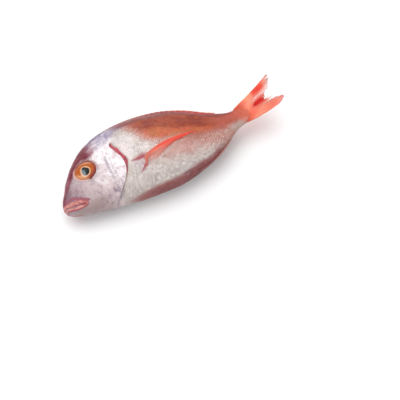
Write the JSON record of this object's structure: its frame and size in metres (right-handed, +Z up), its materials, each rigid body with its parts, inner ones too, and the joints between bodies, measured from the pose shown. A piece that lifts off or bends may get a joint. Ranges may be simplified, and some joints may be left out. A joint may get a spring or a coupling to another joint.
{
  "type": "whole raw fish",
  "caption": "Whole raw pink sea bream lying on its side, with folded fins, a forked tail and loose eyeballs in their sockets.",
  "frame": {"origin": "middle of the bounding box's base, on the surface that the fish lies on", "axes": "+X from the snout to the tail, +Y towards the back fin, +Z up, out of the left flank"},
  "size_m": [0.28, 0.1064, 0.0421],
  "materials": {
    "skin": "wet silver-pink fish skin with fine scales",
    "eye": "wet clear eyeball, orange iris, black pupil"
  },
  "bodies": {
    "root": {"fish": "skin", "eye_left": "eye", "eye_right": "eye"}
  },
  "joints": []
}
